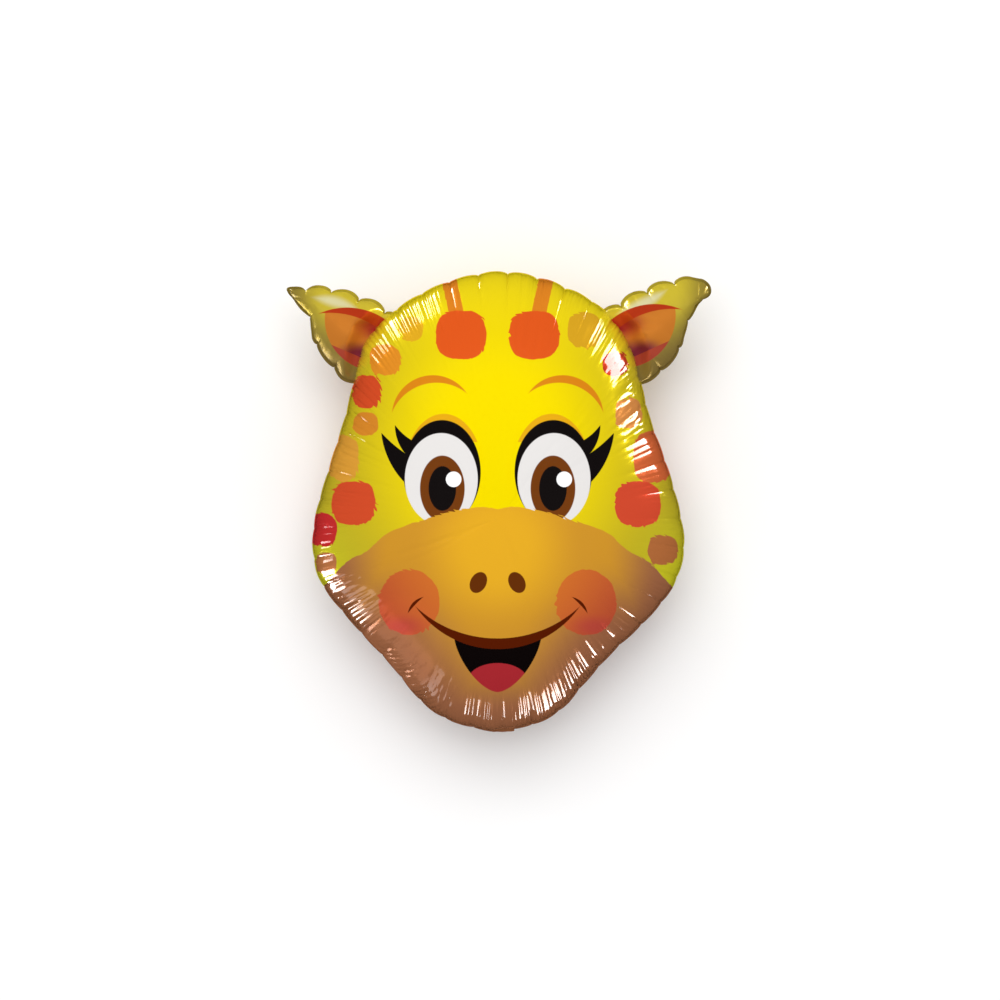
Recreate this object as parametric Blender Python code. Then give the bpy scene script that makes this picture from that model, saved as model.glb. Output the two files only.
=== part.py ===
"""A giraffe-head party balloon of metallised film, inflated and lying on its back with the face up.

Front and back films are cut to one outline, head and ears together, and welded along a flat border,
so the balloon is one sealed body. Inflating it shortens the weld, which puckers into scallops.
The filling tail at the chin is folded up flat against the back.

X runs across the face, +Y from the chin to the crown, +Z out of the face. The origin is on the
surface that the balloon lies on, under the middle of its outline. All sizes are in metres.
"""

import math

import bmesh
import bpy
from mathutils import Vector

# Overall sizes, inflated, over the welded border.
HEAD_WIDTH = 0.316
HEAD_LENGTH = 0.391
HEAD_THICKNESS = 0.161
EAR_LENGTH = 0.094
EAR_THICKNESS = 0.044
EAR_TILT = math.radians(34.0)

# The welded border, and the scallops and puckers that inflating gives it.
WELD_MARGIN = 0.0035
WELD_THICKNESS = 0.0010
EAR_WELD_THICKNESS = 0.0008
HEAD_SCALLOP_PITCH = 0.0255
EAR_SCALLOP_PITCH = 0.0245
CROWN_SCALLOP = 0.0030
JAW_SCALLOP = 0.0011
EAR_TOP_SCALLOP = 0.0058
EAR_BACK_SCALLOP = 0.0028
HEAD_PUCKER = 0.0045
EAR_PUCKER = 0.0025
PUCKER_REACH = 0.032

# Where the first notch of each lobe is, along its outline from the first point of its shape.
HEAD_NOTCH_START = 0.0065
RIGHT_EAR_NOTCH_START = 0.0066
LEFT_EAR_NOTCH_START = 0.0

# The tail folded against the back, and how far the back is pressed in where the balloon lies.
TAIL_WIDTH = 0.024
TAIL_FOLDED_LENGTH = 0.060
TAIL_FLAT_END = 0.018
TAIL_PROUD = 0.0014
TAIL_ROOT_DEPTH = 0.0060
REST_PRESS = 0.0010

WELD_HEIGHT = HEAD_THICKNESS / 2 - REST_PRESS

# The head from crown to chin, as shares of half its width and half its length. The two sides have
# drawn in a little differently.
HEAD_RIGHT_SHAPE = [
    (0.285, 0.955),
    (0.545, 0.842),
    (0.700, 0.682),
    (0.762, 0.505),
    (0.812, 0.350),
    (0.905, 0.140),
    (0.975, -0.070),
    (0.990, -0.225),
    (0.930, -0.375),
    (0.790, -0.518),
    (0.600, -0.665),
    (0.450, -0.800),
    (0.335, -0.905),
    (0.190, -0.972),
]
HEAD_LEFT_SHAPE = [
    (0.300, 0.950),
    (0.558, 0.838),
    (0.732, 0.695),
    (0.790, 0.525),
    (0.838, 0.365),
    (0.925, 0.140),
    (0.995, -0.060),
    (1.010, -0.220),
    (0.960, -0.365),
    (0.790, -0.540),
    (0.600, -0.706),
    (0.430, -0.870),
    (0.290, -0.950),
    (0.110, -0.995),
]
HEAD_MIDDLE_SHARE = (0.0, -0.072)
CROWN_BAND = (0.40, 0.84)  # where the scallops deepen towards the crown

# Each ear round from its root, as shares of its length: along the ear, then across it towards the
# crown. The tip of the left one has folded narrow.
RIGHT_EAR_SHAPE = [
    (-0.120, 0.370),
    (0.210, 0.378),
    (0.448, 0.350),
    (0.638, 0.303),
    (0.846, 0.212),
    (0.955, 0.110),
    (0.980, 0.015),
    (0.930, -0.055),
    (0.800, -0.068),
    (0.690, -0.128),
    (0.545, -0.222),
    (0.455, -0.308),
    (0.327, -0.360),
    (0.177, -0.395),
    (0.000, -0.390),
]
LEFT_EAR_SHAPE = [
    (-0.120, 0.340),
    (0.168, 0.350),
    (0.338, 0.326),
    (0.568, 0.264),
    (0.781, 0.160),
    (0.910, 0.060),
    (0.993, -0.015),
    (0.935, -0.060),
    (0.797, -0.105),
    (0.683, -0.140),
    (0.600, -0.212),
    (0.520, -0.298),
    (0.380, -0.356),
    (0.238, -0.400),
    (0.080, -0.425),
]
EAR_ROOT_SHAPE = [(-0.180, -0.330), (-0.330, -0.140), (-0.360, 0.080), (-0.280, 0.270)]
EAR_ROOT_SHARE = (0.652, 0.665)  # where an ear's root is, as shares of half the head's sizes
EAR_SPINE = (-0.10, 0.84)
EAR_SPINE_LEAN = -0.02
EAR_SPINE_FAN = (0.15, 0.20)  # how far past each end of its spine the border still draws towards it
EAR_TAPER_START = 0.20
EAR_TAPER = 0.66
EAR_TOP_BAND = (-0.05, 0.12)  # across an ear, where the shallow scallops turn into the deep ones
EAR_TIP_BAND = (0.86, 0.96)  # along an ear, where they end

# How a welded film balloon swells from its border, z against the share of the way out.
SWELL_POWER = 3
SWELL_ROUND = 0.53
FADE_POWER = 6  # how fast the scallops fade in from the border
ROUNDING = 0.75  # how far the head's inner rings turn from its outline into an oval
ROUNDING_CORE = 0.15

# Rings of a lobe: the share of the way out from its middle, and the columns from one point to the next.
HEAD_RINGS = [
    (1.0, 1),
    (0.985, 1),
    (0.95, 1),
    (0.89, 1),
    (0.80, 1),
    (0.68, 2),
    (0.52, 2),
    (0.34, 4),
    (0.16, 4),
]
EAR_RINGS = [(1.0, 1), (0.96, 1), (0.88, 1), (0.74, 1), (0.52, 2), (0.26, 2)]
COLUMNS_PER_SCALLOP = 4
CURVE_STEPS = 24
TAIL_STEP = 0.016


def clear_scene():
    for obj in list(bpy.data.objects):
        bpy.data.objects.remove(obj, do_unlink=True)


def film_material():
    material = bpy.data.materials.new("printed_film")
    material.use_nodes = True
    shader = material.node_tree.nodes["Principled BSDF"]
    shader.inputs["Base Color"].default_value = (0.90, 0.72, 0.03, 1.0)
    shader.inputs["Metallic"].default_value = 0.45
    shader.inputs["Roughness"].default_value = 0.25
    return material


def smooth_step(value, low, high):
    t = min(1.0, max(0.0, (value - low) / (high - low)))
    return t * t * (3.0 - 2.0 * t)


def closed_curve(points):
    """Points of a smooth closed curve through the given ones."""
    count = len(points)
    curve = []
    for i in range(count):
        before, start, end, after = (points[(i + k) % count] for k in (-1, 0, 1, 2))
        square = 2.0 * before - 5.0 * start + 4.0 * end - after
        cube = 3.0 * start - before - 3.0 * end + after
        for step in range(CURVE_STEPS):
            t = step / CURVE_STEPS
            curve.append(start + 0.5 * (t * (end - before) + t**2 * square + t**3 * cube))
    return curve


def curve_length(curve):
    return sum((curve[i] - curve[i - 1]).length for i in range(len(curve)))


def evenly_spaced(curve, count, start):
    """Points at equal distances along the closed curve, the first one this far from its beginning."""
    spacing = curve_length(curve) / count
    spaced = []
    passed = 0.0
    i = 0
    for k in range(count):
        target = start + spacing * k
        step = curve[(i + 1) % len(curve)] - curve[i % len(curve)]
        while passed + step.length < target:
            passed += step.length
            i += 1
            step = curve[(i + 1) % len(curve)] - curve[i % len(curve)]
        spaced.append(curve[i % len(curve)] + step * ((target - passed) / step.length))
    return spaced


def swell(share):
    """Height of the inflated film, as a share of its highest, at this share of the way out."""
    return (1.0 - share**SWELL_POWER) ** SWELL_ROUND


def pinch(column):
    """1 in the notch between two scallops, 0 on the crest of each."""
    return 1.0 - math.sqrt(abs(math.sin(math.pi * column / COLUMNS_PER_SCALLOP)))


def head_point(x, y):
    """The point at these shares of half the head's width and length."""
    return Vector((x * HEAD_WIDTH / 2, y * HEAD_LENGTH / 2))


def object_from(mesh, name):
    bmesh.ops.recalc_face_normals(mesh, faces=mesh.faces)
    data = bpy.data.meshes.new(name)
    mesh.to_mesh(data)
    mesh.free()
    obj = bpy.data.objects.new(name, data)
    bpy.context.scene.collection.objects.link(obj)
    return obj


def join_rings(mesh, outer, inner):
    """Faces between two rings, the inner one with as many points or with half as many."""
    count = len(outer)
    if len(inner) == count:
        for i in range(count):
            mesh.faces.new((outer[i - 1], outer[i], inner[i], inner[i - 1]))
        return
    for i in range(0, count, 2):
        near = inner[i // 2]
        far = inner[(i // 2 + 1) % len(inner)]
        mesh.faces.new((outer[i], outer[i + 1], near))
        mesh.faces.new((outer[i + 1], outer[(i + 2) % count], far))
        mesh.faces.new((outer[i + 1], far, near))


class Lobe:
    """An inflated lobe: two domed films that meet at a flat welded border with a scalloped edge."""

    def __init__(self, outline, notch_start, pitch, thickness, weld_thickness, pucker):
        curve = closed_curve(outline)
        self.columns = round(curve_length(curve) / pitch) * COLUMNS_PER_SCALLOP
        self.edge = evenly_spaced(curve, self.columns, notch_start)
        self.half_thickness = thickness / 2
        self.half_weld = weld_thickness / 2
        self.pucker = pucker

    def border_point(self, column, margin, notched=True):
        """On the border, this far in from its edge, and further in where a notch draws it."""
        edge = self.edge[column]
        inset = margin + (self.scallop(edge) * pinch(column) if notched else 0.0)
        return edge + (self.axis(edge) - edge).normalized() * inset

    def film_point(self, column, share, notched=True):
        """Place on the film this share of the way out, and its height from the middle of the weld."""
        edge = self.edge[column]
        axis = self.axis(edge)
        rim = edge.lerp(self.border_point(column, WELD_MARGIN, notched), share**FADE_POWER)
        flat = axis.lerp(self.rounded(edge, rim, share), share)
        height = self.half_thickness * self.taper(flat) * swell(share)
        if notched:
            pucker = self.pucker * math.exp((share - 1.0) * (rim - axis).length / PUCKER_REACH)
            height -= pucker * pinch(column) * min(1.0, height / (4.0 * self.pucker))
        return flat, max(self.half_weld, height)

    def ring(self, mesh, share, skip, face):
        points = []
        for column in range(0, self.columns, skip):
            flat, height = self.film_point(column, share)
            points.append(mesh.verts.new((flat.x, flat.y, WELD_HEIGHT + face * height)))
        return points

    def border(self, mesh, face):
        points = []
        for column in range(self.columns):
            flat = self.border_point(column, 0.0)
            points.append(mesh.verts.new((flat.x, flat.y, WELD_HEIGHT + face * self.half_weld)))
        return points

    def build(self, name):
        mesh = bmesh.new()
        borders = {}
        for face in (1, -1):
            borders[face] = self.border(mesh, face)
            outer = borders[face]
            for share, skip in self.rings:
                inner = self.ring(mesh, share, skip, face)
                join_rings(mesh, outer, inner)
                outer = inner
            self.close_film(mesh, outer, face)
        join_rings(mesh, borders[1], borders[-1])
        return object_from(mesh, name)


class HeadLobe(Lobe):
    """The head, whose rings turn into ovals round one middle point."""

    rings = HEAD_RINGS
    middle = head_point(*HEAD_MIDDLE_SHARE)

    def __init__(self):
        left = [(-x, y) for x, y in reversed(HEAD_LEFT_SHAPE)]
        shape = [(0.0, 1.0)] + HEAD_RIGHT_SHAPE + [(0.0, -1.0)] + left
        outline = [head_point(x, y) for x, y in shape]
        super().__init__(
            outline, HEAD_NOTCH_START, HEAD_SCALLOP_PITCH, HEAD_THICKNESS, WELD_THICKNESS, HEAD_PUCKER
        )

    def axis(self, edge):
        return self.middle

    def taper(self, flat):
        return 1.0

    def scallop(self, edge):
        """Deep over the crown, slight round the cheeks and the jaw."""
        crown = smooth_step(edge.y / (HEAD_LENGTH / 2), *CROWN_BAND)
        return JAW_SCALLOP + (CROWN_SCALLOP - JAW_SCALLOP) * crown

    def rounded(self, edge, rim, share):
        direction = (edge - self.middle).normalized()
        reach = math.hypot(direction.x / (HEAD_WIDTH / 2), direction.y / (HEAD_LENGTH / 2))
        oval = self.middle + direction / reach
        return rim.lerp(oval, ROUNDING * (1.0 - smooth_step(share, ROUNDING_CORE, 1.0)))

    def close_film(self, mesh, ring, face):
        pole = mesh.verts.new((self.middle.x, self.middle.y, WELD_HEIGHT + face * self.half_thickness))
        for i in range(len(ring)):
            mesh.faces.new((ring[i - 1], ring[i], pole))


class EarLobe(Lobe):
    """An ear, whose rings close in on a spine from its root to its tip. Side is 1 or -1, as X."""

    rings = EAR_RINGS

    def __init__(self, side, shape, notch_start):
        self.root = head_point(side * EAR_ROOT_SHARE[0], EAR_ROOT_SHARE[1])
        self.along = Vector((side * math.cos(EAR_TILT), math.sin(EAR_TILT)))
        self.across = Vector((-side * math.sin(EAR_TILT), math.cos(EAR_TILT)))
        outline = [self.point(u, v) for u, v in shape + EAR_ROOT_SHAPE]
        super().__init__(
            outline, notch_start, EAR_SCALLOP_PITCH, EAR_THICKNESS, EAR_WELD_THICKNESS, EAR_PUCKER
        )

    def point(self, u, v):
        """The point at these shares of the ear's length along it and across it."""
        return self.root + EAR_LENGTH * (u * self.along + v * self.across)

    def share_along(self, point):
        return (point - self.root).dot(self.along) / EAR_LENGTH

    def share_across(self, point):
        return (point - self.root).dot(self.across) / EAR_LENGTH

    def axis(self, edge):
        start, end = EAR_SPINE
        drawn = smooth_step(self.share_along(edge), start - EAR_SPINE_FAN[0], end + EAR_SPINE_FAN[1])
        return self.point(start + (end - start) * drawn, EAR_SPINE_LEAN)

    def taper(self, flat):
        """An ear thins towards its tip."""
        return 1.0 - EAR_TAPER * smooth_step(self.share_along(flat), EAR_TAPER_START, 1.0)

    def scallop(self, edge):
        """Deeper along the top of an ear than along its back, and none at the tip."""
        top = smooth_step(self.share_across(edge), *EAR_TOP_BAND)
        depth = EAR_BACK_SCALLOP + (EAR_TOP_SCALLOP - EAR_BACK_SCALLOP) * top
        return depth * (1.0 - smooth_step(self.share_along(edge), *EAR_TIP_BAND))

    def rounded(self, edge, rim, share):
        return rim

    def close_film(self, mesh, ring, face):
        count = len(ring)
        tip = max(range(count), key=lambda i: self.share_along(ring[i].co.xy))
        for k in range(count // 2):
            corners = [ring[(tip + i) % count] for i in (k, k + 1, -k - 1, -k)]
            mesh.faces.new(dict.fromkeys(corners))


def tail_path(head):
    """Along the back film from the weld at the chin, as Y and Z, with a straight end."""
    chin = min(range(head.columns), key=lambda column: head.edge[column].y)
    path = [Vector((head.border_point(chin, WELD_MARGIN, notched=False).y, WELD_HEIGHT))]
    to_go = TAIL_FOLDED_LENGTH - TAIL_FLAT_END
    share = 1.0
    while to_go > 0.0:
        share -= TAIL_STEP
        flat, height = head.film_point(chin, share, notched=False)
        step = Vector((flat.y, WELD_HEIGHT - height)) - path[-1]
        path.append(path[-1] + step * min(1.0, to_go / step.length))
        to_go -= step.length
    path.append(path[-1] + (path[-1] - path[-2]).normalized() * TAIL_FLAT_END)
    return path


def folded_tail(head):
    """The filling tail: a flat strip against the back film, its inner side sunk into the head."""
    path = tail_path(head)
    mesh = bmesh.new()
    sections = []
    for i, point in enumerate(path):
        run = (path[min(i + 1, len(path) - 1)] - path[max(i - 1, 0)]).normalized()
        outward = Vector((run.y, -run.x))
        outer = point + outward * TAIL_PROUD
        inner = point - outward * TAIL_ROOT_DEPTH
        corners = ((-1, outer), (1, outer), (1, inner), (-1, inner))
        sections.append([mesh.verts.new((side * TAIL_WIDTH / 2, p.x, p.y)) for side, p in corners])
    for near, far in zip(sections, sections[1:]):
        for i in range(4):
            mesh.faces.new((near[i - 1], near[i], far[i], far[i - 1]))
    mesh.faces.new(sections[0])
    mesh.faces.new(reversed(sections[-1]))
    return object_from(mesh, "folded_tail")


def combine(body, other, operation):
    """Unites the other object with the body, or cuts it away, and hides it."""
    combined = body.modifiers.new(other.name, "BOOLEAN")
    combined.operation = operation
    combined.solver = "EXACT"
    combined.object = other
    other.hide_render = True
    other.display_type = "WIRE"


def resting_surface():
    """A block whose top is the surface that the balloon lies on."""
    size = 2.0 * (HEAD_LENGTH + EAR_LENGTH)
    bpy.ops.mesh.primitive_cube_add(size=size, location=(0.0, 0.0, -size / 2))
    bpy.context.object.name = "resting_surface"
    return bpy.context.object


def main():
    clear_scene()
    head = HeadLobe()
    balloon = head.build("foil_balloon")
    right_ear = EarLobe(1, RIGHT_EAR_SHAPE, RIGHT_EAR_NOTCH_START)
    left_ear = EarLobe(-1, LEFT_EAR_SHAPE, LEFT_EAR_NOTCH_START)
    combine(balloon, right_ear.build("right_ear_lobe"), "UNION")
    combine(balloon, left_ear.build("left_ear_lobe"), "UNION")
    combine(balloon, folded_tail(head), "UNION")
    combine(balloon, resting_surface(), "DIFFERENCE")
    balloon.data.materials.append(film_material())
    balloon.data.shade_smooth()


main()
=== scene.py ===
"""The creased, printed film of a giraffe-head foil balloon, on a pale floor in soft studio light."""

import math
from typing import NamedTuple

import bpy
import numpy as np
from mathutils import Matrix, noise


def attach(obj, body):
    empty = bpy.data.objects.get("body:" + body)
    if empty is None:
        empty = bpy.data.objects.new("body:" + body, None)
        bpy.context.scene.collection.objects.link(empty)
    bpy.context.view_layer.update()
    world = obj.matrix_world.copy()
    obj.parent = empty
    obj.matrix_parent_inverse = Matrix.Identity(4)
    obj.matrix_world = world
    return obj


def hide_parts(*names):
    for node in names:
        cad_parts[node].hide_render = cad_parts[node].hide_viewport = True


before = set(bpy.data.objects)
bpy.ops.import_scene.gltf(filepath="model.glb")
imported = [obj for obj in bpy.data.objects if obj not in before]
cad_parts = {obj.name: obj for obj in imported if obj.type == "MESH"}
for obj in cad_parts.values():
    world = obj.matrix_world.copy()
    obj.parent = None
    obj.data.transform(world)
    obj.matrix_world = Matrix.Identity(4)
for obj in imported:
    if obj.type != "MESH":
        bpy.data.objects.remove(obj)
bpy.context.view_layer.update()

MM = 0.001

# Sizes of the envelope in metres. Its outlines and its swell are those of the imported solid.
HEAD_WIDTH = 0.316
HEAD_LENGTH = 0.391
HEAD_THICKNESS = 0.161
EAR_LENGTH = 0.094
EAR_THICKNESS = 0.044
EAR_TILT = math.radians(34.0)
HEAD_WELD_MARGIN = 0.0008
EAR_WELD_MARGIN = 0.0024
WELD_THICKNESS = 0.00036
HEAD_SCALLOP_PITCH = 0.0255
EAR_SCALLOP_PITCH = 0.0245
CROWN_SCALLOP = 0.0030
CROWN_SCALLOP_SHARES = (0.25, 0.80)  # on the left of the crown, and on top
CROWN_TOP = (-0.050, 0.010)
CROWN_RIGHT_END = (0.060, 0.080)
JAW_SCALLOP = 0.0011
EAR_TOP_SCALLOP = 0.0058
EAR_BACK_SCALLOP = 0.0028
HEAD_PUCKER = 0.0016
EAR_PUCKER = 0.0019
PUCKER_REACH = 0.017
PUCKER_SHARES = (0.65, 1.15)  # from one notch to the next
PUCKER_SHARPNESS = 0.62
PUCKER_CLEARANCE = 4.0  # it fades where the film stands lower than this many puckers
HEAD_NOTCH_START = 0.0065
TAIL_WIDTH = 0.024
TAIL_FOLDED_LENGTH = 0.060
TAIL_FLAT_END = 0.018
TAIL_PROUD = 0.0014
TAIL_EDGE_PROUD = 0.45 * MM
TAIL_RIPPLE = 0.12 * MM
TAIL_RIPPLE_TURNS = (9.0, 0.7)  # radians over half its width, and from ring to ring
TAIL_PUFF_POWER = 0.6
TAIL_COLUMNS = 15
TAIL_PRESSED_RINGS = 22
TAIL_FLAT_RINGS = 6
TAIL_WAY_IN = 0.35  # share of the way out that is farther in than it reaches
TAIL_ROOT_DEPTH = 0.0040
REST_PRESS = 0.0010
WELD_HEIGHT = HEAD_THICKNESS / 2 - REST_PRESS

HEAD_RIGHT_SHAPE = [
    (0.285, 0.955), (0.545, 0.842), (0.700, 0.682), (0.762, 0.505), (0.812, 0.350), (0.905, 0.140),
    (0.975, -0.070), (0.990, -0.225), (0.930, -0.375), (0.790, -0.518), (0.600, -0.665),
    (0.450, -0.800), (0.335, -0.905), (0.190, -0.972),
]
HEAD_LEFT_SHAPE = [
    (0.300, 0.950), (0.558, 0.838), (0.732, 0.695), (0.790, 0.525), (0.838, 0.365), (0.925, 0.140),
    (0.995, -0.060), (1.010, -0.220), (0.960, -0.365), (0.790, -0.540), (0.600, -0.706),
    (0.430, -0.870), (0.290, -0.950), (0.110, -0.995),
]
HEAD_MIDDLE = np.array((0.0, -0.072 * HEAD_LENGTH / 2))
CROWN_BAND = (0.40, 0.84)
RIGHT_EAR_SHAPE = [
    (-0.120, 0.370), (0.210, 0.378), (0.448, 0.350), (0.638, 0.303), (0.846, 0.212),
    (0.955, 0.110), (0.980, 0.015), (0.930, -0.055), (0.800, -0.068), (0.690, -0.128),
    (0.545, -0.222), (0.455, -0.308), (0.327, -0.360), (0.177, -0.395), (0.000, -0.390),
]
LEFT_EAR_SHAPE = [
    (-0.120, 0.340), (0.168, 0.350), (0.338, 0.326), (0.568, 0.264), (0.781, 0.160),
    (0.910, 0.060), (0.993, -0.015), (0.935, -0.060), (0.797, -0.105), (0.683, -0.140),
    (0.600, -0.212), (0.520, -0.298), (0.380, -0.356), (0.238, -0.400), (0.080, -0.425),
]
EAR_ROOT_SHAPE = [(-0.180, -0.330), (-0.330, -0.140), (-0.360, 0.080), (-0.280, 0.270)]
EAR_ROOT_SHARE = (0.652, 0.665)
EAR_SPINE = (-0.10, 0.84)
EAR_SPINE_LEAN = -0.02
EAR_SPINE_FAN = (0.15, 0.20)
EAR_TAPER_START = 0.20
EAR_TAPER = 0.66
EAR_ROOT_PINCH = 4.0
EAR_ROOT_REACH = (-0.002, 0.017)
EAR_TOP_BAND = (-0.05, 0.12)
EAR_TIP_BAND = (0.86, 0.96)
# Folds of each ear where it leaves the head: start, end, depth and half width in millimetres.
EAR_FOLDS = [
    ((106.0, 145.0), (142.0, 149.0), 3.6, 10.0),
    ((113.0, 121.0), (146.0, 135.5), 2.6, 8.0),
]
EAR_FOLD_BOW = 6.0
EAR_FOLD_FADES = ((-0.3, 0.1), (0.3, 1.0))  # in shares of its length
HEAD_PROFILE = (3.0, 0.53)
EAR_PROFILE = (1.8, 0.70)
FADE_POWER = 6
ROUNDING = 0.75
ROUNDING_CORE = 0.15
CURVE_STEPS = 24

# Rings of each film: its distance in from the weld along the film, and the columns from point to point.
HEAD_RINGS = (
    [(d, 1) for d in (0.0, 1.2, 2.6, 4.2, 6.0, 8.0, 10.2, 12.4, 14.6, 16.8, 19.2, 21.6, 24.2, 26.8)]
    + [(d, 1) for d in (29.6, 32.6, 35.8, 39.2, 42.8, 46.6, 50.6, 54.8, 59.2, 63.8)]
    + [(d, 2) for d in (68.6, 73.6, 78.8, 84.4, 90.4, 96.8, 104.0, 112.0, 121.0, 131.0)]
    + [(d, 4) for d in (140.0, 149.0, 158.4)]
    + [(d, 8) for d in (168.0, 178.0, 189.0)]
)
EAR_RINGS = (
    [(d, 1) for d in (0.0, 0.9, 1.9, 3.0, 4.3, 5.8, 7.5, 9.4, 11.5, 13.8, 16.4, 19.2, 22.2, 25.2)]
    + [(d, 2) for d in (28.2, 31.0, 33.4, 35.4)]
)
COLUMNS_PER_SCALLOP = 32
COLUMN_STEP = {1: 1, -1: 2}  # the back film has half as many columns as the front one
HEAD_SEED = 11
# Each ear: name, side as X, shape, where its first notch is in metres, and its seed.
EARS = (
    ("right_ear", 1, RIGHT_EAR_SHAPE, 0.0066, 23),
    ("left_ear", -1, LEFT_EAR_SHAPE, 0.0, 37),
)

# Waves of the weld's border: pitch in millimetres, and height as a share of the border's width.
BORDER_WAVES = ((23.0, 0.12), (14.0, 0.06))
# Rings of the border from its edge inwards: share of its width, and share of the wave's height.
BORDER_RINGS = ((0.0, 1.0), (0.5, 0.45))

CRINKLE = 0.35  # millimetres
CRINKLE_PITCH = 0.0055
CRINKLES_FROM_WELD = (2.0, 12.0)  # millimetres over which they set in
CREASES_AT_WELD = 0.25  # share of their depth
CREASES_FROM_WELD = (0.0, 9.0)
CREASE_FADE_IN = 5.0
CREASE_FADE_POWER = 0.55
CREASE_SPREAD = 160.0  # millimetres in which a crease gets twice as wide
CREASE_GATHER = 0.15  # share of the way to the nearest notch or middle that a fine crease bends
CREASE_ROUNDING = 0.006
MIDDLE_JITTER = 3.0  # millimetres that a crease stands off the middle of its scallop
MOST_DEPTH = 0.6  # of the film's height over the weld, so that front and back never meet


class Creases(NamedTuple):
    """A kind of crease that runs in from the weld. Sizes are in millimetres, jitter in pitches."""

    depth: tuple
    reach: tuple
    half_width: float
    pitch: float = 0.0
    jitter: float = 0.33
    start: float = 0.0
    lean: float = 0.0


SCALLOP_CREASES = Creases(depth=(0.2, 0.7), reach=(60.0, 95.0), half_width=5.0)
FINE_CREASES = Creases(depth=(0.55, 1.30), reach=(62.0, 98.0), half_width=2.2, pitch=4.0)
FINEST_CREASES = Creases(depth=(0.04, 0.22), reach=(30.0, 80.0), half_width=1.5, pitch=2.7)
LONG_CREASES = Creases(depth=(0.2, 2.0), reach=(70.0, 125.0), half_width=2.2, pitch=7.5, start=24.0)
JAW_PLEATS = Creases(
    depth=(1.0, 1.5), reach=(60.0, 80.0), half_width=2.4, pitch=4.9, jitter=0.20, start=9.0, lean=-0.4
)
CHEEK_PLEATS = Creases(depth=(0.3, 0.8), reach=(60.0, 105.0), half_width=2.6, start=20.0)
EAR_SCALLOP_CREASES = Creases(depth=(0.4, 0.9), reach=(14.0, 30.0), half_width=4.0)
EAR_FINE_CREASES = Creases(depth=(0.05, 0.28), reach=(16.0, 34.0), half_width=2.1, pitch=3.8)
LEAST_FINE_DEPTH = 0.06
LEAST_FINE_REACH = 0.80

# How creased the film is round the head: degrees from +X, and a share of each crease's depth.
HEAD_CREASED = [
    (0, 0.12), (12, 0.03), (30, 0.00), (38, 0.06), (54, 0.20), (57, 1.30), (62, 1.30),
    (65, 0.12), (67, 0.12), (69, 1.40), (73, 1.40), (75, 0.12), (77, 0.15), (79, 1.10),
    (85, 1.10), (87, 0.10), (105, 0.10), (108, 1.00), (112, 1.20), (129, 1.20), (134, 0.40),
    (160, 0.35), (183, 0.35), (187, 0.50), (190, 0.10), (196, 0.10), (200, 0.25), (205, 0.30),
    (209, 1.20), (221, 1.30), (224, 0.10), (228, 0.10), (230, 0.50), (232, 0.10), (249, 0.10),
    (252, 1.00), (255, 0.20), (259, 0.20), (261, 0.90), (267, 0.80), (270, 0.30), (277, 1.20),
    (304, 1.40), (309, 0.25), (330, 0.20), (345, 0.20), (360, 0.25),
]
# The same for the crinkles across the creases, the long creases and the two kinds of pleat.
HEAD_CRINKLED = [
    (0, 0.1), (24, 0.2), (30, 1.6), (38, 2.2), (54, 2.2), (58, 0.2), (104, 0.2), (120, 0.5),
    (130, 0.2), (197, 0.2), (200, 2.2), (206, 1.8), (210, 0.3), (222, 0.1), (275, 0.1),
    (283, 0.6), (286, 2.2), (292, 2.2), (295, 0.3), (305, 0.1), (360, 0.1),
]
LONG_CREASED = [(0, 0.25), (48, 0.25), (60, 1.0), (345, 1.0), (360, 0.25)]
JAW_PLEATED = [(220, 0.0), (224, 1.0), (247, 1.0), (254, 0.0)]
CHEEK_PLEATED = [(302, 0.0), (310, 0.7), (330, 0.7), (345, 0.0)]
# The long creases are deepest at the temples, whose height and spread are in metres.
TEMPLE_HEIGHT = 0.050
TEMPLE_SPREAD = 0.040
TEMPLE_ELSEWHERE = 0.12
# Crinkles of an ear: everywhere, and more on its top, round a middle in shares of its length.
EAR_CRINKLED = 0.4
EAR_TOP_CRINKLED = 2.4
EAR_TOP_CRINKLES = (0.54, 0.15)
EAR_TOP_EDGE = (0.0, 0.008)


def smooth_step(value, low, high):
    t = np.clip((value - low) / (high - low), 0.0, 1.0)
    return t * t * (3.0 - 2.0 * t)


def unit(vectors):
    return vectors / np.linalg.norm(vectors, axis=-1, keepdims=True)


def closed_curve(points):
    """Points of a smooth closed curve through the given ones."""
    start = np.array(points)[:, None, :]
    before, end, after = (np.roll(start, k, axis=0) for k in (1, -1, -2))
    t = (np.arange(CURVE_STEPS) / CURVE_STEPS)[None, :, None]
    square = 2.0 * before - 5.0 * start + 4.0 * end - after
    cube = 3.0 * start - before - 3.0 * end + after
    return (start + 0.5 * (t * (end - before) + t**2 * square + t**3 * cube)).reshape(-1, 2)


def evenly_spaced(curve, count, start):
    """Points at equal distances along the closed curve, the first one this far from its beginning."""
    ring = np.vstack([curve, curve[:1]])
    passed = np.concatenate([[0.0], np.cumsum(np.linalg.norm(np.diff(ring, axis=0), axis=1))])
    target = (start + passed[-1] * np.arange(count) / count) % passed[-1]
    return np.stack([np.interp(target, passed, ring[:, k]) for k in (0, 1)], axis=1)


def curve_length(curve):
    return np.linalg.norm(curve - np.roll(curve, 1, axis=0), axis=1).sum()


def swell(share, profile):
    """How far the film swells at this share of the way out, for a profile's power and roundness."""
    power, roundness = profile
    return (1.0 - share**power) ** roundness


def furrow(across, width):
    """Depth across a crease: 1 on its line, 0 beyond its width, with a pillow of film on each side."""
    away = np.minimum(np.sqrt((across / width) ** 2 + CREASE_ROUNDING), 1.0)
    return (1.0 - away) ** 2


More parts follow.
